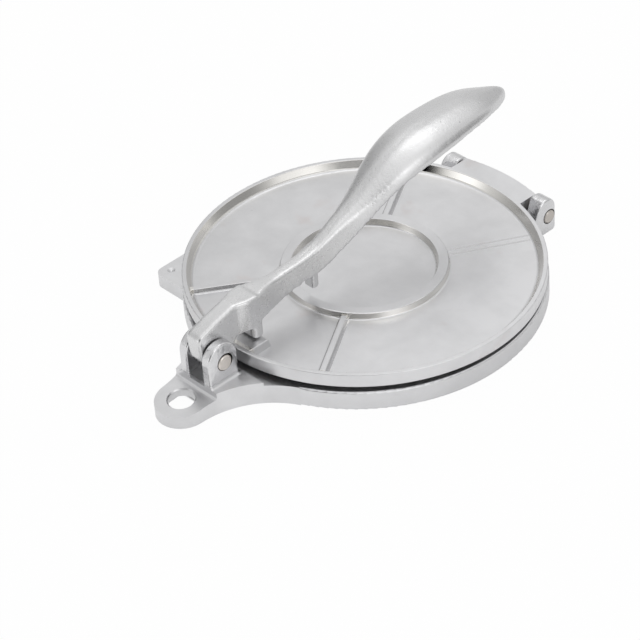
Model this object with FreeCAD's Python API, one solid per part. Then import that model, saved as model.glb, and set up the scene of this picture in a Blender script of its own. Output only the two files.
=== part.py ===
import FreeCAD, Part
import math
import os

# Hand press for tortillas, cast aluminium, in millimetres.
# The origin is the centre of the base disc on the table, +Z is up, +Y points to the rear hinge.

V = FreeCAD.Vector
X_AXIS = V(1, 0, 0)
Y_AXIS = V(0, 1, 0)
Z_AXIS = V(0, 0, 1)

# Shared values
overrun = 2.0
running_play = 0.05
pin_chamfer = 0.6
pin_proud = 0.35

# Base disc
base_radius = 100.5
base_height = 11.8
base_edge_round = 1.0
base_skin = 5.0
base_wall = 5.5
base_rib_width = 3.2
base_rib_count = 6
base_ring_outer = 46.0
base_ring_width = 4.0
base_hub_radius = 14.0

# Front tongue and neck
tongue_end_radius = 14.6
hang_hole_radius = 7.3
hang_hole_chamfer = 0.7
hang_hole_offset = 35.1
tongue_height = 9.5
tongue_tip_height = 7.2
tongue_ceiling = 4.2
tongue_wall = 4.2
flare_radius = 50.0
flare_share = 0.8

# Raised block that carries the ears
block_height = 13.6
block_front = 24.2
block_rear = 1.6
step_fillet = 1.6

# Ears of the lever
ear_inner = 5.85
ear_thickness = 5.8
ear_offset = 14.1
ear_half_width = 10.1
ear_height = 38.0
ear_edge_round = 1.2
ear_foot_fillet = 2.0
slot_front_sill = 1.9
slot_rear = 5.5

# Front pin
front_pin_offset = 12.8
front_pin_height = 25.2
front_pin_radius = 4.5
front_hole_play = 0.75

# Rear lugs of the base
lug_inner = 28.3
lug_thickness = 9.7
lug_rear = 12.0
lug_height = 22.6
lug_left_drop = 2.3
lug_crown_radius = 6.5
lug_front_round = 8.0
lug_front_slope_share = 0.42
lug_foot_round = 2.5
lug_root = 12.0
lug_front_gap = 3.3
lug_front_lean = 4.2
lug_edge_round = 1.1

# Rear pin
rear_pin_offset = 7.2
rear_pin_height = 10.5
rear_pin_radius = 4.0
rear_hole_play = 0.6

# Side lug with a shallow dimple, near the front left
side_lug_inset = 7.2
side_lug_setback = 28.0
side_lug_depth = 32.0
side_lug_height = 8.3
side_lug_corner = 5.0
dimple_radius = 2.3
dimple_depth = 1.2
dimple_inset_x = 5.8
dimple_inset_y = 7.5

# Upper plate, drawn level before it is tilted about the rear pin
plate_inset = 0.6
plate_bottom_gap = 0.25
plate_floor = 3.25
plate_edge_round = 0.8
rim_height = 8.1
rim_width = 2.6
rim_draft = 2.6
rim_fillet = 2.2
rim_edge_round = 0.5
ring_height = 7.15
ring_outer = 46.0
ring_width = 5.6
ring_outer_draft = 0.5
ring_inner_draft = 1.3
ring_fillet = 1.1
ring_edge_round = 0.45
rib_height = 2.7
rib_top_width = 3.0
rib_draft = 0.8
rib_fillet = 1.4
rib_edge_round = 0.4
rib_angles = (59.5, 121.0, 235.8, 301.9)
front_opening = 3.2

# Rear land of the upper plate with its two knuckles
land_half_width = 26.5
land_reach = 12.1
land_edge_round = 0.6
land_thickness = 4.6
knuckle_radius = 6.4
knuckle_length = 14.0

# Pad under the lever's nose
pad_left = 10.0
pad_right = 11.7
pad_depth = 16.9
pad_height = 7.7
pad_draft = 1.3
pad_edge_round = 0.6

# Lever, measured from the front pin
eye_width = 10.4
eye_radius = 6.8
neck_reach = 33.0
neck_height = 26.2
neck_edge_round = 1.2
cheek_start = 15.8
cheek_end = 22.6
cheek_half_width = 7.7
cheek_bend = 9.0
nose_half_width = 8.0
nose_front = 24.3
nose_length = 7.8
nose_top = 17.0
nose_bottom = 1.7
nose_corner_round = 2.8
nose_tip_round = 2.4
lever_reach = 225.9
lever_half_width = 18.7
lever_rise = 62.9
lever_wall = 3.2
hollow_start_share = 0.3
hollow_end_share = 0.97
foot_half_width = 3.5
foot_offset = 71.9
foot_length = 4.8
foot_bottom = 2.8
foot_round = 0.7

# Lever stations: place along the reach, half width, bottom, top, and the section's kind, which runs
# from -1 for the neck over 0 for the web to 1 for the grip
lever_station_shares = (
    (0.115, 0.405, 0.120, 0.386, -1.00),
    (0.145, 0.405, 0.132, 0.389, -0.90),
    (0.172, 0.365, 0.148, 0.388, -0.35),
    (0.200, 0.342, 0.168, 0.383, 0.00),
    (0.258, 0.340, 0.208, 0.392, 0.00),
    (0.342, 0.358, 0.227, 0.425, 0.00),
    (0.395, 0.412, 0.305, 0.505, 0.15),
    (0.444, 0.495, 0.400, 0.580, 0.40),
    (0.520, 0.670, 0.575, 0.730, 0.80),
    (0.590, 0.850, 0.715, 0.880, 1.00),
    (0.679, 1.000, 0.800, 0.975, 1.00),
    (0.789, 0.963, 0.846, 1.000, 1.00),
    (0.900, 0.738, 0.844, 0.968, 1.00),
    (0.957, 0.440, 0.800, 0.913, 1.00),
    (0.985, 0.240, 0.790, 0.875, 1.00),
    (0.998, 0.070, 0.805, 0.835, 1.00),
)
# Half sections from the bottom corner to the crown, across and up
neck_section_shares = ((1.00, 0.00), (0.985, 0.35), (0.965, 0.70), (0.93, 0.93), (0.84, 0.99), (0.00, 1.00))
web_section_shares = ((1.00, 0.00), (0.86, 0.36), (0.72, 0.70), (0.62, 0.92), (0.50, 0.985), (0.00, 1.00))
grip_section_shares = ((1.00, 0.00), (0.985, 0.24), (0.90, 0.51), (0.70, 0.765), (0.39, 0.94), (0.00, 1.00))
# Place of those points along the curve of the section, as a share of its half
section_point_shares = (0.00, 0.24, 0.47, 0.66, 0.78, 1.00)

# Side outline of the neck, from the pin: along the neck reach, up the neck height, corner rounding
neck_outline_shares = (
    (-0.293, 0.065, 0.22), (-0.335, 0.66, 0.64), (0.02, 0.815, 1.27), (0.45, 0.955, 0.56),
    (0.88, 0.955, 0.00), (1.00, 0.90, 0.00), (1.00, 0.23, 0.00), (0.46, 0.21, 0.17), (0.34, -0.05, 0.00),
)

# Places that follow from the sizes
plate_radius = base_radius - plate_inset
plate_under = base_height + plate_bottom_gap
floor_top = plate_under + plate_floor
rib_top = floor_top + rib_height
ring_inner = ring_outer - ring_width
base_ring_inner = base_ring_outer - base_ring_width
side_lug_x = -(base_radius - side_lug_inset)
side_lug_y = -(base_radius - side_lug_setback)
rim_top = plate_under + rim_height
ring_top = plate_under + ring_height
front_pin_y = -(base_radius + front_pin_offset)
rear_pin_y = base_radius + rear_pin_offset
ear_y = -(base_radius + ear_offset)
ear_outer = ear_inner + ear_thickness
hang_hole_y = -(base_radius + hang_hole_offset)
lug_outer = lug_inner + lug_thickness
tilt_degrees = math.degrees(math.asin(front_opening / (rear_pin_y + plate_radius)))


def rounded_wire(corners, place):
    """Closed wire of straight runs with tangent arcs; corners are (u, v, radius)."""
    count = len(corners)
    trimmed = []
    for i, (u, v, radius) in enumerate(corners):
        before = V(*corners[i - 1][:2], 0) - V(u, v, 0)
        after = V(*corners[(i + 1) % count][:2], 0) - V(u, v, 0)
        here = V(u, v, 0)
        if radius == 0:
            trimmed.append((here, None, here))
            continue
        half = before.getAngle(after) / 2
        setback = radius / math.tan(half)
        before.normalize()
        after.normalize()
        bisector = before + after
        bisector.normalize()
        middle = here + bisector * (radius / math.sin(half) - radius)
        trimmed.append((here + before * setback, middle, here + after * setback))
    edges = []
    for i, (start, middle, end) in enumerate(trimmed):
        if middle is not None:
            edges.append(Part.Arc(place(start), place(middle), place(end)).toShape())
        following = trimmed[(i + 1) % count][0]
        if (following - end).Length > running_play / base_radius:
            edges.append(Part.LineSegment(place(end), place(following)).toShape())
    return Part.Wire(edges)


def revolved(corners):
    """Solid of revolution about Z from (radius, height, rounding) corners."""
    wire = rounded_wire(corners, lambda p: V(p.x, 0, p.y))
    return Part.Face(wire).revolve(V(0, 0, 0), Z_AXIS, 360)


def side_prism(corners, x_from, x_to):
    """Prism along X from (y, z, rounding) corners."""
    wire = rounded_wire(corners, lambda p: V(x_from, p.x, p.y))
    return Part.Face(wire).extrude(X_AXIS * (x_to - x_from))


def plan_prism(corners, z_from, z_to):
    """Prism along Z from (x, y, rounding) corners."""
    wire = rounded_wire(corners, lambda p: V(p.x, p.y, z_from))
    return Part.Face(wire).extrude(Z_AXIS * (z_to - z_from))


def cross_pin(radius, half_length, y, z):
    """Cylinder along X, centred on the middle plane."""
    return Part.makeCylinder(radius, 2 * half_length, V(-half_length, y, z), X_AXIS)


def block(x_from, x_to, y_from, y_to, z_from, z_to):
    return Part.makeBox(x_to - x_from, y_to - y_from, z_to - z_from, V(x_from, y_from, z_from))


def edges_within(shape, lo, hi):
    """Edges that lie wholly inside the box from lo to hi."""
    box = FreeCAD.BoundBox(*lo, *hi)
    return [edge for edge in shape.Edges if box.isInside(edge.BoundBox)]


def mirrored(shape):
    return shape.mirror(V(0, 0, 0), X_AXIS)


def fused(shapes):
    return shapes[0].multiFuse(shapes[1:]).removeSplitter()


def neck_face_prism(inset, height, y_from, y_to):
    """Neck in plan, drawn in by the inset: a round tongue end that flares into the disc."""
    end_radius = tongue_end_radius - inset
    flare = flare_radius + inset
    centre_x = end_radius + flare
    centre_y = -math.sqrt((base_radius + flare_radius) ** 2 - centre_x ** 2)
    reach = (base_radius - inset) / (base_radius + flare_radius)
    meet = V(centre_x * reach, centre_y * reach, 0)
    start = V(end_radius, centre_y, 0)
    chord = (meet + start) / 2 - V(centre_x, centre_y, 0)
    chord.normalize()
    middle = V(centre_x, centre_y, 0) + chord * flare
    flip = lambda p: V(-p.x, p.y, 0)
    inside = V(0, meet.y * flare_share, 0)
    tip = V(0, hang_hole_y - end_radius, 0)
    side = V(end_radius, hang_hole_y, 0)
    edges = [Part.Arc(flip(side), tip, side).toShape()]
    if abs(start.y - side.y) > running_play:
        edges.append(Part.LineSegment(side, start).toShape())
        edges.append(Part.LineSegment(flip(side), flip(start)).toShape())
    edges.append(Part.Arc(start, middle, meet).toShape())
    edges.append(Part.Arc(flip(start), flip(middle), flip(meet)).toShape())
    edges.append(Part.LineSegment(meet, inside).toShape())
    edges.append(Part.LineSegment(inside, flip(meet)).toShape())
    wire = Part.Wire(Part.__sortEdges__(edges))
    plan = Part.Face(wire).extrude(Z_AXIS * height)
    return plan.common(block(-base_radius, base_radius, y_from, y_to, 0, height))


def tongue():
    """Front tongue, level up to the step and lower towards its round end."""
    step_y = -(base_radius + block_front)
    tip_y = hang_hole_y - tongue_end_radius
    slope = (tongue_height - tongue_tip_height) / (step_y - tip_y)
    beyond = tip_y - overrun
    side = side_prism([(beyond, 0, 0), (0, 0, 0), (0, tongue_height, 0), (step_y, tongue_height, 0),
                       (beyond, tongue_tip_height - slope * overrun, 0)], -base_radius, base_radius)
    return neck_face_prism(0, tongue_height, beyond, 0).common(side)


def clevis_ear():
    """One ear with a round top and softened edges, on the +X side."""
    front = ear_y - ear_half_width
    rear = ear_y + ear_half_width
    foot = base_height - base_skin
    corners = [(front, foot, 0), (rear, foot, 0), (rear, ear_height, ear_half_width),
               (front, ear_height, ear_half_width)]
    ear = side_prism(corners, ear_inner, ear_outer)
    above = block_height + step_fillet
    soft = [edge for edge in ear.Edges
            if edge.BoundBox.XLength < running_play and edge.BoundBox.ZMax > above
            and edge.BoundBox.ZMax > foot + running_play]
    return ear.makeFillet(ear_edge_round, soft)


def ear_foot():
    """Hollow fillet around the foot of one ear, cut flush with the front of the block."""
    top = block_height
    fillet = ear_foot_fillet
    reach = ear_edge_round + fillet
    profile = [(0, top - fillet, 0), (reach, top - fillet, 0), (reach, top, 0),
               (ear_edge_round, top, fillet), (ear_edge_round, top + fillet, 0), (0, top + fillet, 0)]
    front = ear_y - ear_half_width
    inner_x = ear_inner + ear_edge_round
    outer_x = ear_outer - ear_edge_round
    front_y = front + ear_edge_round
    rear_y = ear_y + ear_half_width - ear_edge_round

    def fan(x, y, start, sweep):
        turn = V(math.cos(math.radians(start)), math.sin(math.radians(start)), 0)
        wire = rounded_wire(profile, lambda p: V(x, y, p.y) + turn * p.x)
        return Part.Face(wire).revolve(V(x, y, 0), Z_AXIS, sweep)

    side = Part.Face(rounded_wire(profile, lambda p: V(outer_x + p.x, front_y, p.y)))
    back = Part.Face(rounded_wire(profile, lambda p: V(inner_x, rear_y + p.x, p.y)))
    foot = fused([fan(outer_x, front_y, -90, 90), side.extrude(Y_AXIS * (rear_y - front_y)),
                  fan(outer_x, rear_y, 0, 90), back.extrude(X_AXIS * (outer_x - inner_x)),
                  fan(inner_x, rear_y, 90, 180)])
    return foot.common(block(0, base_radius, front, 0, 0, ear_height))


def base_lug(height):
    """One rear lug on the +X side: straight rear, round crown, front wall around the plate."""
    rear = base_radius + lug_rear
    root = base_radius - lug_root
    slope = (height - base_height) * lug_front_slope_share
    corners = [(root, 0, 0), (rear, 0, lug_foot_round), (rear, height, lug_crown_radius),
               (base_radius, height, lug_front_round), (base_radius - slope, base_height, 0),
               (root, base_height, 0)]
    lug = side_prism(corners, lug_inner, lug_outer)
    lo = (0, root, base_height + overrun)
    hi = (base_radius, rear + overrun, height + overrun)
    crown = [edge for edge in edges_within(lug, lo, hi) if edge.BoundBox.XLength < running_play]
    lug = lug.makeFillet(lug_edge_round, crown)
    front_wall = plate_radius + lug_front_gap
    return lug.cut(Part.makeCone(front_wall, front_wall + lug_front_lean, height - base_height,
                                 V(0, 0, base_height)))


def base_underside():
    """Recess under the disc, left as pockets between a hub, a ring and radial ribs."""
    depth = base_height - base_skin
    recess = Part.makeCylinder(base_radius - base_wall, depth + overrun, V(0, 0, -overrun))
    hub = Part.makeCylinder(base_hub_radius, depth + 2 * overrun, V(0, 0, -2 * overrun))
    ring = Part.makeCylinder(base_ring_outer, depth + 2 * overrun, V(0, 0, -2 * overrun))
    ring = ring.cut(Part.makeCylinder(base_ring_inner, depth + 3 * overrun, V(0, 0, -3 * overrun)))
    ribs = []
    for i in range(base_rib_count):
        rib = block(0, base_radius, -base_rib_width / 2, base_rib_width / 2, -2 * overrun, depth)
        rib.rotate(V(0, 0, 0), Z_AXIS, 360 * (i + 0.5) / base_rib_count)
        ribs.append(rib)
    return recess.cut(hub.multiFuse([ring] + ribs))


def base_plate():
    edge = base_edge_round
    disc = revolved([(0, 0, 0), (base_radius, 0, edge), (base_radius, base_height, edge),
                     (0, base_height, 0)])
    step_y = -(base_radius + block_front)
    neck = neck_face_prism(0, base_height, step_y, 0)
    raised = neck_face_prism(0, block_height, step_y, -(base_radius + block_rear))
    side_lug = plan_prism([(side_lug_x, side_lug_y, side_lug_corner),
                           (side_lug_x + side_lug_depth, side_lug_y, 0),
                           (side_lug_x + side_lug_depth, side_lug_y + side_lug_depth, 0),
                           (side_lug_x, side_lug_y + side_lug_depth, 0)],
                          0, side_lug_height)
    body = fused([disc, tongue(), neck, raised, side_lug])
    foot_lo = (-tongue_end_radius - flare_radius, step_y - running_play, tongue_height - running_play)
    foot_hi = (tongue_end_radius + flare_radius, step_y + running_play, tongue_height + running_play)
    body = body.makeFillet(step_fillet, edges_within(body, foot_lo, foot_hi))
    ear = fused([clevis_ear(), ear_foot()])
    lugs = [base_lug(lug_height), mirrored(base_lug(lug_height - lug_left_drop))]
    body = fused([body, ear, mirrored(ear)] + lugs)
    recess = neck_face_prism(tongue_wall, tongue_ceiling, hang_hole_y - tongue_end_radius, -base_radius)
    body = body.cut([base_underside(), recess])
    slot = block(-ear_inner, ear_inner, step_y + slot_front_sill,
                 -(base_radius + slot_rear), -overrun, ear_height)
    hole_y = front_pin_y
    hole_z = front_pin_height + front_hole_play - running_play
    front_hole = cross_pin(front_pin_radius + front_hole_play, ear_outer + overrun, hole_y, hole_z)
    slide = (rear_hole_play - running_play) * math.sqrt(0.5)
    rear_hole = cross_pin(rear_pin_radius + rear_hole_play, lug_outer + overrun,
                          rear_pin_y - slide, rear_pin_height + slide)
    hang_hole = Part.makeCylinder(hang_hole_radius, tongue_height + 2 * overrun,
                                  V(0, hang_hole_y, -overrun))
    dimple_x = side_lug_x + dimple_inset_x
    dimple_y = side_lug_y + dimple_inset_y
    dimple = Part.makeCone(0, dimple_radius, dimple_depth,
                           V(dimple_x, dimple_y, side_lug_height - dimple_depth), Z_AXIS)
    body = body.cut([slot, front_hole, rear_hole, hang_hole, dimple])
    mouth_lo = (-hang_hole_radius - overrun, hang_hole_y - hang_hole_radius - overrun,
                tongue_ceiling + overrun)
    mouth_hi = (hang_hole_radius + overrun, hang_hole_y + hang_hole_radius + overrun, tongue_height)
    return body.makeChamfer(hang_hole_chamfer, edges_within(body, mouth_lo, mouth_hi))


def plate_rib(angle):
    """Radial rib with drafted sides and hollow fillets at its foot."""
    half_top = rib_top_width / 2
    half_foot = half_top + rib_draft
    spread = half_foot + 2 * rib_fillet
    buried = floor_top - plate_floor / 2
    corners = [(-spread, buried, 0), (spread, buried, 0), (spread, floor_top, 0),
               (half_foot, floor_top, rib_fillet), (half_top, rib_top, rib_edge_round),
               (-half_top, rib_top, rib_edge_round), (-half_foot, floor_top, rib_fillet),
               (-spread, floor_top, 0)]
    inner = (ring_inner + ring_outer) / 2
    rib = side_prism(corners, inner, plate_radius - rim_width)
    rib.rotate(V(0, 0, 0), Z_AXIS, angle)
    return rib


def plate_pad():
    """Raised pad that the lever's nose presses on."""
    rear = -(plate_radius - pad_depth)
    top = plate_under + pad_height
    buried = floor_top - plate_floor / 2
    foot = [V(-pad_left - pad_draft, -plate_radius + rim_width / 2, buried),
            V(pad_right + pad_draft, -plate_radius + rim_width / 2, buried),
            V(pad_right + pad_draft, rear + pad_draft, buried),
            V(-pad_left - pad_draft, rear + pad_draft, buried)]
    head = [V(-pad_left, -plate_radius + rim_width / 2, top),
            V(pad_right, -plate_radius + rim_width / 2, top),
            V(pad_right, rear, top), V(-pad_left, rear, top)]
    sections = [Part.makePolygon(points + points[:1]) for points in (foot, head)]
    pad = Part.makeLoft(sections, True, True)
    lo = (-base_radius, -base_radius, top - running_play)
    hi = (base_radius, rear + running_play, top + running_play)
    return pad.makeFillet(pad_edge_round, edges_within(pad, lo, hi))


def plate_land():
    """Flat land behind the rim, with two knuckles for the rear pin under its ends."""
    reach = plate_radius + land_reach
    inner = plate_radius - rim_width / 2
    land = revolved([(inner, plate_under, 0), (reach, plate_under, 0), (reach, rim_top, land_edge_round),
                     (inner, rim_top, 0)])
    land = land.common(block(-land_half_width, land_half_width, 0, reach + overrun,
                             plate_under, rim_top + overrun))
    solids = [land]
    for side in (-1, 1):
        x_from = min(side * land_half_width, side * (land_half_width - knuckle_length))
        solids.append(Part.makeCylinder(knuckle_radius, knuckle_length,
                                        V(x_from, rear_pin_y, rear_pin_height), X_AXIS))
    return solids


def press_plate():
    foot_radius = plate_radius - rim_width - rim_draft
    profile = [(0, plate_under, 0), (plate_radius, plate_under, plate_edge_round),
               (plate_radius, rim_top, rim_edge_round), (plate_radius - rim_width, rim_top, rim_edge_round),
               (foot_radius, floor_top, rim_fillet),
               (ring_outer + ring_outer_draft, floor_top, ring_fillet),
               (ring_outer, ring_top, ring_edge_round), (ring_inner, ring_top, ring_edge_round),
               (ring_inner - ring_inner_draft, floor_top, ring_fillet), (0, floor_top, 0)]
    solids = [revolved(profile)] + [plate_rib(angle) for angle in rib_angles]
    solids += plate_land() + [plate_pad()]
    plate = fused(solids)
    hollow = block(-land_half_width + knuckle_length, land_half_width - knuckle_length,
                   plate_radius + overrun, plate_radius + land_reach - overrun,
                   plate_under - overrun, rim_top - land_thickness)
    bore = cross_pin(rear_pin_radius + running_play, land_half_width + overrun,
                     rear_pin_y, rear_pin_height)
    plate = plate.cut([hollow, bore])
    plate.rotate(V(0, rear_pin_y, rear_pin_height), X_AXIS, -tilt_degrees)
    return plate


def lever_section(station, inset, sunk):
    """Closed section of the lever across X at one station, shrunk by the inset."""
    along, width, low, high, kind = station
    y = front_pin_y + along * lever_reach
    half = width * lever_half_width - inset
    bottom = front_pin_height + low * lever_rise - sunk
    top = front_pin_height + high * lever_rise - inset
    end_shares = neck_section_shares if kind < 0 else grip_section_shares
    side = []
    for (web_x, web_z), (end_x, end_z) in zip(web_section_shares, end_shares):
        across = web_x + (end_x - web_x) * abs(kind)
        up = web_z + (end_z - web_z) * abs(kind)
        side.append(V(half * across, y, bottom + (top - bottom) * up))
    other = [V(-p.x, p.y, p.z) for p in reversed(side[:-1])]
    places = list(section_point_shares) + [2 - share for share in reversed(section_point_shares[:-1])]
    curve = Part.BSplineCurve()
    curve.interpolate(Points=side + other, Parameters=places)
    floor = Part.LineSegment(other[-1], side[0]).toShape()
    return Part.Wire([curve.toShape(), floor])


def lever_body():
    """Drafted web that widens into a domed grip, hollow underneath."""
    outer = Part.makeLoft([lever_section(s, 0, 0) for s in lever_station_shares], True)
    grip_stations = [s for s in lever_station_shares if hollow_start_share < s[0] < hollow_end_share]
    inner = Part.makeLoft([lever_section(s, lever_wall, overrun) for s in grip_stations], True)
    return outer.cut(inner)


def lever_neck():
    """Eye and neck between the ears, widening into cheeks behind them."""
    half = eye_width / 2
    corners = [(front_pin_y + along * neck_reach, front_pin_height + up * neck_height,
                rounding * eye_radius) for along, up, rounding in neck_outline_shares]
    side = side_prism(corners, -nose_half_width, nose_half_width)
    front = front_pin_y - neck_reach
    rear = front_pin_y + nose_front + nose_length
    start = front_pin_y + cheek_start
    end = front_pin_y + cheek_end
    right = [(half, front, 0), (half, start, cheek_bend), (cheek_half_width, end, cheek_bend),
             (nose_half_width, rear, nose_corner_round)]
    left = [(-x, y, rounding) for x, y, rounding in reversed(right)]
    plan = plan_prism(right + left, 0, front_pin_height + neck_height)
    neck = side.common(plan)
    eye = cross_pin(eye_radius, half, front_pin_y, front_pin_height)
    neck = fused([neck, eye])
    crest_low = front_pin_height + eye_radius
    lo = (-nose_half_width - running_play, front, crest_low)
    hi = (nose_half_width + running_play, rear + running_play, crest_low + neck_height)
    crest = [edge for edge in edges_within(neck, lo, hi)
             if edge.BoundBox.YLength > running_play and edge.BoundBox.XLength < half]
    return neck.makeFillet(neck_edge_round, crest)


def lever_nose():
    """Finger that points down to the pad, rounded in plan and at its tip."""
    front = front_pin_y + nose_front
    rear = front + nose_length
    foot = front_pin_height - nose_bottom
    column = side_prism([(front, foot, nose_tip_round), (rear, foot, nose_tip_round),
                         (rear, front_pin_height + nose_top, 0), (front, front_pin_height + nose_top, 0)],
                        -nose_half_width, nose_half_width)
    plan = plan_prism([(-nose_half_width, front, nose_corner_round),
                       (nose_half_width, front, nose_corner_round),
                       (nose_half_width, rear, nose_corner_round),
                       (-nose_half_width, rear, nose_corner_round)],
                      foot - overrun, front_pin_height + nose_top + overrun)
    return column.common(plan)


def lever_foot():
    """Small stop under the web."""
    front = front_pin_y + foot_offset
    foot = front_pin_height + foot_bottom
    top = front_pin_height + nose_top
    return plan_prism([(-foot_half_width, front, foot_round), (foot_half_width, front, foot_round),
                       (foot_half_width, front + foot_length, foot_round),
                       (-foot_half_width, front + foot_length, foot_round)], foot, top)


def lever_handle():
    lever = fused([lever_body(), lever_neck(), lever_nose(), lever_foot()])
    bore = cross_pin(front_pin_radius + running_play, ear_outer, front_pin_y, front_pin_height)
    return lever.cut(bore)


def steel_pin(radius, half_length, y, z):
    """Plain pin with chamfered ends."""
    pin = cross_pin(radius, half_length, y, z)
    ends = [edge for edge in pin.Edges if edge.BoundBox.XLength < running_play]
    return pin.makeChamfer(pin_chamfer, ends)


os.makedirs("parts", exist_ok=True)
nodes = {
    "base_plate": base_plate(),
    "press_plate": press_plate(),
    "lever_handle": lever_handle(),
    "front_pin": steel_pin(front_pin_radius, ear_outer + pin_proud, front_pin_y, front_pin_height),
    "rear_hinge_pin": steel_pin(rear_pin_radius, lug_outer + pin_proud, rear_pin_y, rear_pin_height),
}
for node, shape in nodes.items():
    print(node, shape.isValid(), len(shape.Solids), round(shape.Volume), shape.BoundBox)
    shape.exportStep("parts/" + node + ".step")
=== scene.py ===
import math

import bpy
from bpy.props import FloatProperty, FloatVectorProperty, PointerProperty
from mathutils import Matrix, Vector


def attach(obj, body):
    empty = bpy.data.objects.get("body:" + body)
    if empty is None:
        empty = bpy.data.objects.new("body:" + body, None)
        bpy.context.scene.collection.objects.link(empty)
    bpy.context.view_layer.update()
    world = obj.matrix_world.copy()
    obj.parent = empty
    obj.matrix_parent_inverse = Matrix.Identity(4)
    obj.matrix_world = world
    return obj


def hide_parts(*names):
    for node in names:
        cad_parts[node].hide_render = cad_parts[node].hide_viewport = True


bl_info = {
    "name": "Cast aluminium tortilla press",
    "version": (1, 0, 0),
    "blender": (4, 5, 0),
    "location": "3D View > Sidebar > Press",
    "description": "Finishes of a cast aluminium hand press, with its floor, lamps and camera",
    "category": "Object",
}

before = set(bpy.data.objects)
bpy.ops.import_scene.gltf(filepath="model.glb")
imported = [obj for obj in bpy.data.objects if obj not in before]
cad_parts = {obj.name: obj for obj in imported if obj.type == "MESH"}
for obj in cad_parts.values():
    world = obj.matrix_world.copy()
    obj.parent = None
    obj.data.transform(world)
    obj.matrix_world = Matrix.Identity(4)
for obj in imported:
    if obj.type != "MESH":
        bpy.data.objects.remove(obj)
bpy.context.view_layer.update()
mm = 0.001

# Places in the frame that the finishes follow
REAR_PIN = Vector((0, 107.7, 10.5)) * mm
PLATE_RADIUS = 99.9 * mm
PLATE_OPENING = 3.2 * mm
PLATE_TILT = math.asin(PLATE_OPENING / (REAR_PIN.y + PLATE_RADIUS))
PLATE_FLOOR = 15.3 * mm
BLOCK_TOP = 13.6 * mm
RIM_WALL = 97.3 * mm
RING_OUTER = 46.0 * mm
RING_INNER = 40.4 * mm
RIB_ANGLES = (59.5, 121.0, 235.8, 301.9)

# Edge of each turned wall, and the band about it in millimetres: start, full, last and end
TURNED_WALLS = (
    (RIM_WALL, (-3.2, -2.6, -0.1, 0.2)),
    (RING_INNER, (-1.9, -1.5, -0.1, 0.1)),
    (RING_OUTER, (-0.1, 0.1, 0.8, 1.2)),
)

# Middle of a noise, about which a finish gets lighter and darker
NOISE_MIDDLE = 0.5

# Pits: core and edge as shares of a cell, size of their patches in cells, softness of the patches' edges
PIT_CORE = 0.08
PIT_EDGE = 0.16
PIT_PATCH = 2.3
PIT_SOFTNESS = 0.03

# Scratches: size of their patches in lengths of a scratch, softness of a scratch's edges
SCRATCH_PATCH = 1.2
SCRATCH_SOFTNESS = 0.05

# Passes that soften the corners of the lever's mesh, and how far each pass goes
LEVER_PASSES = 6
LEVER_PASS_SHARE = 0.5

# The studio, in metres
KEY_PLACE = Vector((-0.40, 0.44, 1.27))
FILL_PLACE = Vector((1.15, -0.3, 0.85))
LAMP_AIM = Vector((0, 0, 0.02))
LAMP_SIZE = 0.6
FLOOR_HALF = 3.0
FLOOR_DROP = 0.2 * mm
WHITE = (1, 1, 1, 1)

# Width of the camera's sensor, in millimetres
SENSOR_WIDTH = 36.0

# Level of the studio's walls, and how much lighter the ceiling is
WALL_LEVEL = 0.735
CEILING_CHANGE = 0.20

# Soft patches of the studio's walls: azimuth, elevation, inner and outer radius in degrees, change of level
PATCHES = (
    (75, 35, 14, 48, 0.16),
    (86, 16, 8, 20, 0.16),
    (34, 16, 24, 40, -0.48),
    (-2, 28, 8, 20, -0.40),
    (127, 1, 10, 34, -0.40),
    (-78, 10, 14, 42, -0.34),
    (-17, 10, 4, 20, 0.66),
    (-168, 18, 12, 32, -0.16),
    (-155, 52, 8, 24, 0.12),
    (-105, 72, 8, 26, 0.14),
    (78, 40, 8, 24, 0.26),
)


class PressFinish(bpy.types.PropertyGroup):
    """Colours and grain of the press."""

    casting: FloatVectorProperty(
        name="Casting", description="Colour of the bare casting", subtype="COLOR",
        default=(0.765, 0.765, 0.775), min=0, max=1)
    turned: FloatVectorProperty(
        name="Turned edge", description="Colour of the turned walls of rim and ring", subtype="COLOR",
        default=(0.80, 0.785, 0.755), min=0, max=1)
    stain: FloatVectorProperty(
        name="Stain", description="Faint warm stain on the upper plate", subtype="COLOR",
        default=(0.70, 0.65, 0.64), min=0, max=1)
    speck: FloatVectorProperty(
        name="Speck", description="Small pits and dark specks", subtype="COLOR",
        default=(0.22, 0.21, 0.21), min=0, max=1)
    lever: FloatVectorProperty(
        name="Lever", description="Colour of the tumbled lever", subtype="COLOR",
        default=(0.76, 0.76, 0.765), min=0, max=1)
    pin: FloatVectorProperty(
        name="Pin", description="Colour of the steel pins", subtype="COLOR",
        default=(0.82, 0.77, 0.72), min=0, max=1)
    plate_roughness: FloatProperty(
        name="Plate roughness", description="Satin of the plates", default=0.36, min=0, max=1)
    wall_roughness: FloatProperty(
        name="Wall roughness", description="Polish of the turned walls", default=0.15, min=0, max=1)
    lever_roughness: FloatProperty(
        name="Lever roughness", description="Satin of the lever", default=0.30, min=0, max=1)
    grain_size: FloatProperty(
        name="Grain", description="Size of the casting's grain", subtype="DISTANCE", unit="LENGTH",
        default=1.1 * mm, min=0.1 * mm)
    lever_voxel: FloatProperty(
        name="Lever mesh", description="Size of the lever's mesh cells", subtype="DISTANCE", unit="LENGTH",
        default=0.7 * mm, min=0.3 * mm)


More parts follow.
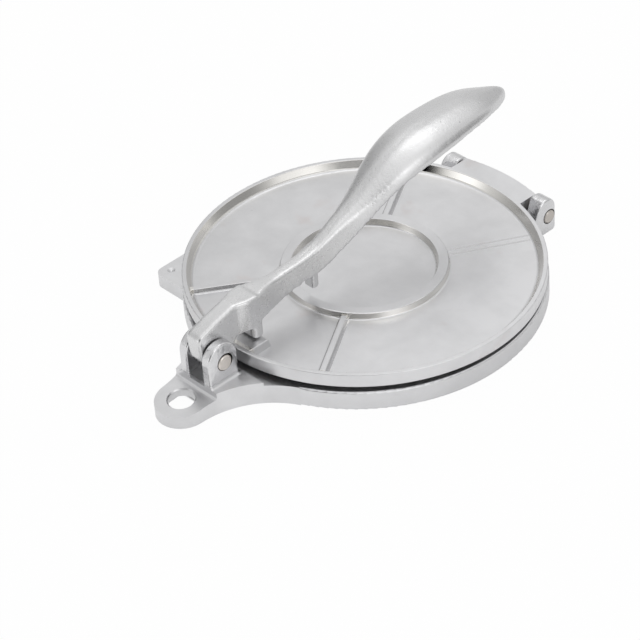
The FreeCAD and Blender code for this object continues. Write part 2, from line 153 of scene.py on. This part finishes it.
class StageLook(bpy.types.PropertyGroup):
    """Floor, lamps and camera."""

    floor: FloatVectorProperty(
        name="Floor", description="Colour of the floor", subtype="COLOR",
        default=(0.93, 0.93, 0.93), min=0, max=1)
    azimuth: FloatProperty(
        name="Azimuth", description="Camera's turn from the front", subtype="ANGLE",
        default=math.radians(48.72))
    elevation: FloatProperty(
        name="Elevation", description="Camera's height above the floor", subtype="ANGLE",
        default=math.radians(38.19))
    roll: FloatProperty(
        name="Roll", description="Camera's turn about its own axis", subtype="ANGLE",
        default=math.radians(-4.4))
    distance: FloatProperty(
        name="Distance", description="Camera to its aim", subtype="DISTANCE", unit="LENGTH",
        default=1.5294)
    lens: FloatProperty(
        name="Lens", description="Focal length in millimetres on a 36 mm sensor", default=158.36)
    aim: FloatVectorProperty(
        name="Aim", description="Point that the camera looks at", subtype="TRANSLATION", unit="LENGTH",
        default=(-0.392 * mm, -34.903 * mm, 1.0 * mm))
    key_power: FloatProperty(
        name="Key", description="Power of the high soft lamp", unit="POWER", default=0.7, min=0)
    fill_power: FloatProperty(
        name="Fill", description="Power of the low soft lamp", unit="POWER", default=0.5, min=0)


class Term:
    """One output of a shader node, so that sums of it read as plain Python."""

    def __init__(self, nodes, socket):
        self.nodes = nodes
        self.socket = socket

    def math(self, operation, first, second=0.0):
        return self.nodes.add("ShaderNodeMath", {"operation": operation}, {0: first, 1: second})

    def __add__(self, other):
        return self.math("ADD", self, other)

    __radd__ = __add__

    def __sub__(self, other):
        return self.math("SUBTRACT", self, other)

    def __rsub__(self, other):
        return self.math("SUBTRACT", other, self)

    def __mul__(self, other):
        return self.math("MULTIPLY", self, other)

    __rmul__ = __mul__

    def __pow__(self, other):
        return self.math("POWER", self, other)

    def __abs__(self):
        return self.math("ABSOLUTE", self)

    def at_least(self, other):
        return self.math("MAXIMUM", self, other)

    def step(self, low, high):
        """0 below low, 1 above high and smooth between; falls instead where high is less than low."""
        settings = {"interpolation_type": "SMOOTHSTEP"}
        if low < high:
            return self.nodes.add("ShaderNodeMapRange", settings, {0: self, 1: low, 2: high, 3: 0.0, 4: 1.0})
        return self.nodes.add("ShaderNodeMapRange", settings, {0: self, 1: high, 2: low, 3: 1.0, 4: 0.0})

    def band(self, start, full, last, end):
        """1 from full to last, falling to 0 at start and at end."""
        return self.step(start, full) * self.step(end, last)

    def swing(self):
        """A noise as its rise and fall about 0."""
        return self - NOISE_MIDDLE


class Nodes:
    """A node tree that is filled one node at a time."""

    def __init__(self, tree):
        self.tree = tree
        tree.nodes.clear()

    def add(self, kind, settings, inputs, output=0):
        node = self.tree.nodes.new(kind)
        for name, value in settings.items():
            setattr(node, name, value)
        for key, value in inputs.items():
            if isinstance(value, Term):
                self.tree.links.new(value.socket, node.inputs[key])
            else:
                node.inputs[key].default_value = value
        return Term(self, node.outputs[output])

    def place(self):
        """The point in the frame, in metres; it stays with the piece when the piece moves."""
        return self.add("ShaderNodeTexCoord", {}, {}, "Object")

    def split(self, vector):
        node = self.add("ShaderNodeSeparateXYZ", {}, {0: vector}).socket.node
        return [Term(self, socket) for socket in node.outputs]

    def turned(self, vector, angles=(0, 0, 0), scale=(1, 1, 1), shift=(0, 0, 0)):
        """The vector after a scale, a turn in radians and a shift."""
        return self.add("ShaderNodeMapping", {}, {0: vector, 1: shift, 2: angles, 3: scale})

    def noise(self, vector, size, detail=3.0, roughness=0.5, distortion=0.0):
        values = {"Vector": vector, "Scale": 1 / size, "Detail": detail, "Roughness": roughness,
                  "Distortion": distortion}
        return self.add("ShaderNodeTexNoise", {}, values)

    def cells(self, vector, size):
        """Distance to the nearest centre of a cell, as a share of the cell's size."""
        return self.add("ShaderNodeTexVoronoi", {"feature": "F1"}, {"Vector": vector, "Scale": 1 / size})

    def near(self, direction, azimuth, elevation, inner, outer):
        """1 near a direction given in degrees, falling to 0 at the outer angle."""
        a = math.radians(azimuth)
        e = math.radians(elevation)
        centre = (math.sin(a) * math.cos(e), -math.cos(a) * math.cos(e), math.sin(e))
        settings = {"operation": "DOT_PRODUCT"}
        along = self.add("ShaderNodeVectorMath", settings, {0: direction, 1: centre}, "Value")
        return along.step(math.cos(math.radians(outer)), math.cos(math.radians(inner)))

    def tint(self, factor, colour, other):
        """The colour at factor 0, the other at 1 and a mix between."""
        settings = {"data_type": "RGBA", "clamp_factor": True}
        node = self.add("ShaderNodeMix", settings, {0: factor}).socket.node
        for key, value in ((6, colour), (7, other)):
            if isinstance(value, Term):
                self.tree.links.new(value.socket, node.inputs[key])
            else:
                node.inputs[key].default_value = (*value, 1)
        return Term(self, node.outputs[2])

    def bump(self, height, depth):
        return self.add("ShaderNodeBump", {}, {"Strength": 1.0, "Distance": depth, "Height": height})

    def end(self, kind, shader):
        """Adds the output of a material or a world and links the shader to it."""
        output = self.tree.nodes.new(kind)
        self.tree.links.new(shader.socket, output.inputs[0])


def metal(name, paint):
    """A metal material; paint(nodes) returns its colour, roughness and normal."""
    material = bpy.data.materials.new(name)
    material.use_nodes = True
    nodes = Nodes(material.node_tree)
    colour, roughness, normal = paint(nodes)
    inputs = {"Base Color": colour, "Metallic": 1.0, "Roughness": roughness, "Normal": normal}
    nodes.end("ShaderNodeOutputMaterial", nodes.add("ShaderNodeBsdfPrincipled", {}, inputs))
    return material


def scaled(colour, share):
    """The colour, darker where the share is below 1 and brighter above."""
    return tuple(channel * share for channel in colour)


def uneven(nodes, tone, contrast, dull, bright):
    """A mix of a dull and a bright colour by a tone about 0."""
    return nodes.tint(tone * contrast + NOISE_MIDDLE, dull, bright)


def scratches(nodes, place, angle, length, width, amount):
    """Fine straight scratches along one direction, as a mask."""
    along = nodes.turned(place, angles=(0, 0, angle), scale=(width / length, 1, 1))
    streak = nodes.noise(along, width, detail=2.0, roughness=0.6)
    patch = nodes.noise(place, SCRATCH_PATCH * length, detail=2.0)
    least = 1 - amount
    return streak.step(least, least + SCRATCH_SOFTNESS) * patch.step(NOISE_MIDDLE, 0.6)


def specks(nodes, place, size, share):
    """Scattered small pits, as a mask."""
    near = nodes.cells(place, size)
    patch = nodes.noise(place, size * PIT_PATCH, detail=1.0)
    least = 1 - share
    return near.step(PIT_EDGE, PIT_CORE) * patch.step(least, least + PIT_SOFTNESS)


def casting_base(nodes):
    """Satin base, with smoother ears and rear lugs and a darker side lug and tongue."""
    finish = bpy.context.scene.press_finish
    place = nodes.place()
    x, y, z = nodes.split(place)
    grain = nodes.noise(place, finish.grain_size, roughness=0.6)
    cloud = nodes.noise(place, 26 * mm, detail=4.0, roughness=0.55)
    blotch = nodes.noise(place, 9 * mm)
    ripple = nodes.noise(place, 3.5 * mm, detail=2.0)
    pits = specks(nodes, place, 5 * mm, share=0.30)
    raised = z.step(BLOCK_TOP + 0.5 * mm, BLOCK_TOP + 3 * mm)
    side_lug = x.step(-95 * mm, -103 * mm) * 0.22
    tongue = y.step(-120 * mm, -128 * mm) * 0.10
    tone = cloud.swing() * 0.30 + blotch.swing() * 0.20 - side_lug.at_least(tongue)
    colour = uneven(nodes, tone, 3, scaled(finish.casting, 0.90), scaled(finish.casting, 1.10))
    colour = nodes.tint(pits * 0.6, colour, finish.speck)
    roughness = tone * 0.3 + grain.swing() * 0.12 + finish.plate_roughness - raised * 0.14
    height = grain * 0.35 + blotch * 1.0 + raised * ripple * 4.0 - pits * 1.2
    return colour, roughness, nodes.bump(height, 0.06 * mm)


def level_plate(nodes, place):
    """Points of the upper plate as if it lay level."""
    turn = Matrix.Rotation(PLATE_TILT, 3, "X")
    shift = REAR_PIN - turn @ REAR_PIN
    return nodes.turned(place, angles=(PLATE_TILT, 0, 0), shift=tuple(shift))


def casting_plate(nodes):
    """Satin plate with stains and scratches, polished walls of rim and ring, and painted shade on the ribs'
    sloping sides.
    """
    finish = bpy.context.scene.press_finish
    place = nodes.place()
    x, y, z = nodes.split(level_plate(nodes, place))
    radius = (x * x + y * y) ** 0.5
    grain = nodes.noise(place, finish.grain_size, roughness=0.6)
    cloud = nodes.noise(place, 34 * mm, detail=4.0, roughness=0.55, distortion=0.6)
    blotch = nodes.noise(place, 11 * mm, roughness=0.55)
    elsewhere = nodes.turned(place, shift=(0.3, 0.1, 0))
    stain = nodes.noise(elsewhere, 30 * mm, roughness=0.6).step(0.60, 0.74)
    pits = specks(nodes, place, 7 * mm, share=0.28)
    marks = scratches(nodes, place, math.radians(35), length=14 * mm, width=0.5 * mm, amount=0.30)
    cross = scratches(nodes, place, math.radians(-50), length=18 * mm, width=0.6 * mm, amount=0.28)
    # Painted light and shade: the plate's tone rises steadily along +x+y, darker on one side and lighter on
    # the other
    painted_side_shade = (x * 0.66 + y * 0.75) * (0.17 / PLATE_RADIUS)
    tone = cloud.swing() * 0.42 + blotch.swing() * 0.22 + painted_side_shade
    wall = turned_walls(radius, z)
    shaded_rib_sides = rib_walls(x, y, radius)
    smooth = 1 - wall * 0.9
    colour = uneven(nodes, tone, 3, scaled(finish.casting, 0.90), scaled(finish.casting, 1.10))
    colour = nodes.tint(stain * 0.5, colour, finish.stain)
    colour = nodes.tint(pits * 0.75, colour, finish.speck)
    colour = nodes.tint(wall, colour, finish.turned)
    # Painted shade: the ribs' sloping sides are darkened as if in shadow
    colour = nodes.tint(shaded_rib_sides * 0.5, colour, scaled(finish.casting, 0.8))
    roughness = (cloud.swing() * 0.12 + grain.swing() * 0.08) * smooth + finish.plate_roughness
    roughness = roughness - wall * (finish.plate_roughness - finish.wall_roughness)
    roughness = roughness - shaded_rib_sides * 0.16
    height = (grain * 0.6 + blotch * 0.8 - pits * 1.2 - marks * 0.9 - cross * 0.9) * smooth
    return colour, roughness, nodes.bump(height, 0.04 * mm)


def rib_walls(x, y, radius):
    """Mask of the sloping sides of the four ribs, where the plate paints shade and lowers roughness."""
    sides = 0.0
    for degrees in RIB_ANGLES:
        cosine = math.cos(math.radians(degrees))
        sine = math.sin(math.radians(degrees))
        away = abs(x * sine - y * cosine)
        side = away.band(1.3 * mm, 1.7 * mm, 2.6 * mm, 3.2 * mm)
        outward = (x * cosine + y * sine).step(0, 5 * mm)
        sides = side * outward + sides
    return sides * radius.band(47 * mm, 49 * mm, 93 * mm, 95 * mm)


def turned_walls(radius, z):
    """Mask of the walls of the rim and the ring, which were turned on a lathe."""
    above = z.step(PLATE_FLOOR + 0.2 * mm, PLATE_FLOOR + 0.9 * mm)
    walls = 0.0
    for edge, reach in TURNED_WALLS:
        walls = radius.band(*(edge + away * mm for away in reach)) + walls
    return above * walls


def casting_lever(nodes):
    """Tumbled casting with a grain that is coarsest along the web."""
    finish = bpy.context.scene.press_finish
    place = nodes.place()
    y = nodes.split(place)[1]
    grain = nodes.noise(place, finish.grain_size * 1.3, detail=4.0, roughness=0.62)
    lumps = nodes.noise(place, 6 * mm)
    cloud = nodes.noise(place, 22 * mm, roughness=0.55)
    dents = specks(nodes, place, 4 * mm, share=0.40)
    coarse = y.band(-80 * mm, -40 * mm, 5 * mm, 30 * mm) * 0.60 + 0.30
    tone = cloud.swing() * 0.20 + grain.swing() * coarse * 0.36
    colour = uneven(nodes, tone, 2, scaled(finish.lever, 0.86), scaled(finish.lever, 1.12))
    colour = nodes.tint(dents * 0.30, colour, finish.speck)
    roughness = grain.swing() * 0.25 + cloud.swing() * 0.10 + finish.lever_roughness
    height = grain * coarse * 1.8 + lumps * 1.6 - dents * 0.8
    return colour, roughness, nodes.bump(height, 0.10 * mm)


def turned_steel(nodes):
    """Smeared steel, darker on the rear pin."""
    finish = bpy.context.scene.press_finish
    place = nodes.place()
    fine = nodes.noise(place, 0.6 * mm, roughness=0.6)
    smear = nodes.noise(place, 3 * mm, detail=2.0)
    rear = nodes.split(place)[1].step(-10 * mm, 10 * mm)
    colour = nodes.tint(smear, scaled(finish.pin, 0.90), scaled(finish.pin, 1.12))
    colour = nodes.tint(rear, colour, scaled(finish.pin, 0.74))
    roughness = fine.swing() * 0.2 + 0.40
    return colour, roughness, nodes.bump(fine + smear, 0.03 * mm)


def dress(node, name, paint):
    """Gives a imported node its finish."""
    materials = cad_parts[node].data.materials
    materials.clear()
    materials.append(metal(name, paint))


class PRESS_OT_base(bpy.types.Operator):
    """Finish the base casting"""

    bl_idname = "press.base"
    bl_label = "Base casting"

    def execute(self, context):
        dress("base_plate", "Base casting", casting_base)
        return {"FINISHED"}


class PRESS_OT_plate(bpy.types.Operator):
    """Finish the upper plate"""

    bl_idname = "press.plate"
    bl_label = "Upper plate"

    def execute(self, context):
        dress("press_plate", "Plate casting", casting_plate)
        return {"FINISHED"}


class PRESS_OT_lever(bpy.types.Operator):
    """Make the lever with the soft corners of a tumbled casting"""

    bl_idname = "press.lever"
    bl_label = "Lever"

    def execute(self, context):
        finish = context.scene.press_finish
        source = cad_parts["lever_handle"]
        lever = bpy.data.objects.new("lever_casting", source.data.copy())
        context.scene.collection.objects.link(lever)
        remesh = lever.modifiers.new("Cells", "REMESH")
        remesh.mode = "VOXEL"
        remesh.voxel_size = finish.lever_voxel
        smooth = lever.modifiers.new("Tumbled", "SMOOTH")
        smooth.factor = LEVER_PASS_SHARE
        smooth.iterations = LEVER_PASSES
        settled = lever.evaluated_get(context.evaluated_depsgraph_get())
        mesh = bpy.data.meshes.new_from_object(settled)
        lever.modifiers.clear()
        lever.data = mesh
        for face in mesh.polygons:
            face.use_smooth = True
        mesh.materials.clear()
        mesh.materials.append(metal("Lever casting", casting_lever))
        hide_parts("lever_handle")
        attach(lever, "lever")
        return {"FINISHED"}


class PRESS_OT_pins(bpy.types.Operator):
    """Finish the two steel pins"""

    bl_idname = "press.pins"
    bl_label = "Pins"

    def execute(self, context):
        dress("front_pin", "Pin steel", turned_steel)
        dress("rear_hinge_pin", "Hinge pin steel", turned_steel)
        return {"FINISHED"}


def lamp(name, place, power):
    """A soft lamp that looks at the press."""
    data = bpy.data.lights.new(name, "AREA")
    data.shape = "RECTANGLE"
    data.size = LAMP_SIZE
    data.size_y = LAMP_SIZE
    data.energy = power
    holder = bpy.data.objects.new(name, data)
    bpy.context.scene.collection.objects.link(holder)
    holder.location = place
    holder.rotation_euler = (LAMP_AIM - place).to_track_quat("-Z", "Y").to_euler()


def seen_directly(nodes):
    """How white the floor shows: most to the camera, a little in gloss and glass, none under the press; in
    gloss and glass it is a painted pool of light that grows towards the front.
    """
    path = nodes.tree.nodes.new("ShaderNodeLightPath")
    camera = Term(nodes, path.outputs["Is Camera Ray"])
    gloss = Term(nodes, path.outputs["Is Glossy Ray"])
    glass = Term(nodes, path.outputs["Is Transmission Ray"])
    x, y = nodes.split(nodes.place())[:2]
    disc = ((x * x + y * y) ** 0.5).step(97 * mm, 92 * mm)
    slot = y.band(-127 * mm, -125 * mm, -102 * mm, -100 * mm) * abs(x).step(14 * mm, 12 * mm)
    # Painted light: in reflections the floor glows more towards the front, a pool of light painted on the
    # floor
    painted_light_pool = y.step(20 * mm, -110 * mm) * 0.50 + 0.10
    return (camera * 0.97 + (gloss + glass) * painted_light_pool) * (1 - disc.at_least(slot))


class PRESS_OT_stage(bpy.types.Operator):
    """Set the floor, the lamps and the camera"""

    bl_idname = "press.stage"
    bl_label = "Stage"

    def execute(self, context):
        look = context.scene.press_stage
        self.make_floor(look)
        self.make_world(context.scene)
        lamp("Key", KEY_PLACE, look.key_power)
        lamp("Fill", FILL_PLACE, look.fill_power)
        self.make_camera(context.scene, look)
        context.scene.view_settings.view_transform = "Standard"
        return {"FINISHED"}

    def make_floor(self, look):
        mesh = bpy.data.meshes.new("floor")
        sides = ((-1, -1), (1, -1), (1, 1), (-1, 1))
        corners = [(x * FLOOR_HALF, y * FLOOR_HALF, -FLOOR_DROP) for x, y in sides]
        mesh.from_pydata(corners, [], [(0, 1, 2, 3)])
        floor = bpy.data.objects.new("floor", mesh)
        bpy.context.scene.collection.objects.link(floor)
        material = bpy.data.materials.new("Pale floor")
        material.use_nodes = True
        nodes = Nodes(material.node_tree)
        card = nodes.add("ShaderNodeBsdfDiffuse", {}, {"Color": (*look.floor, 1)})
        glow = nodes.add("ShaderNodeEmission", {}, {"Color": WHITE, "Strength": 1.0})
        blend = nodes.add("ShaderNodeMixShader", {}, {0: seen_directly(nodes), 1: card, 2: glow})
        nodes.end("ShaderNodeOutputMaterial", blend)
        mesh.materials.append(material)

    def make_world(self, scene):
        world = bpy.data.worlds.new("Studio")
        scene.world = world
        world.use_nodes = True
        nodes = Nodes(world.node_tree)
        direction = nodes.add("ShaderNodeTexCoord", {}, {}, "Generated")
        ceiling = nodes.split(direction)[2].step(0.75, 0.98)
        level = ceiling * CEILING_CHANGE + WALL_LEVEL
        for azimuth, elevation, inner, outer, change in PATCHES:
            level = level + nodes.near(direction, azimuth, elevation, inner, outer) * change
        glow = nodes.add("ShaderNodeBackground", {}, {"Color": WHITE, "Strength": level})
        nodes.end("ShaderNodeOutputWorld", glow)

    def make_camera(self, scene, look):
        east = Vector((math.cos(look.azimuth), math.sin(look.azimuth), 0))
        back = Vector((math.sin(look.azimuth) * math.cos(look.elevation),
                       -math.cos(look.azimuth) * math.cos(look.elevation),
                       math.sin(look.elevation)))
        north = back.cross(east)
        right = math.cos(look.roll) * east + math.sin(look.roll) * north
        above = -math.sin(look.roll) * east + math.cos(look.roll) * north
        data = bpy.data.cameras.new("Camera")
        data.sensor_width = SENSOR_WIDTH
        data.sensor_fit = "HORIZONTAL"
        data.lens = look.lens
        camera = bpy.data.objects.new("Camera", data)
        scene.collection.objects.link(camera)
        turn = Matrix((right, above, back)).transposed().to_4x4()
        camera.matrix_world = Matrix.Translation(Vector(look.aim) + back * look.distance) @ turn
        scene.camera = camera


class PRESS_PT_panel(bpy.types.Panel):
    """The press and its stage"""

    bl_idname = "PRESS_PT_panel"
    bl_label = "Tortilla press"
    bl_space_type = "VIEW_3D"
    bl_region_type = "UI"
    bl_category = "Press"

    def draw(self, context):
        for step in STEPS:
            self.layout.operator(step.bl_idname)
        for group in (context.scene.press_finish, context.scene.press_stage):
            for name in group.__annotations__:
                self.layout.prop(group, name)


STEPS = (PRESS_OT_stage, PRESS_OT_base, PRESS_OT_plate, PRESS_OT_lever, PRESS_OT_pins)
CLASSES = (PressFinish, StageLook, *STEPS, PRESS_PT_panel)


def register():
    for kind in CLASSES:
        bpy.utils.register_class(kind)
    bpy.types.Scene.press_finish = PointerProperty(type=PressFinish)
    bpy.types.Scene.press_stage = PointerProperty(type=StageLook)


def unregister():
    del bpy.types.Scene.press_stage
    del bpy.types.Scene.press_finish
    for kind in reversed(CLASSES):
        bpy.utils.unregister_class(kind)


def main():
    register()
    bpy.ops.press.stage()
    bpy.ops.press.base()
    bpy.ops.press.plate()
    bpy.ops.press.lever()
    bpy.ops.press.pins()


if __name__ == "__main__":
    main()
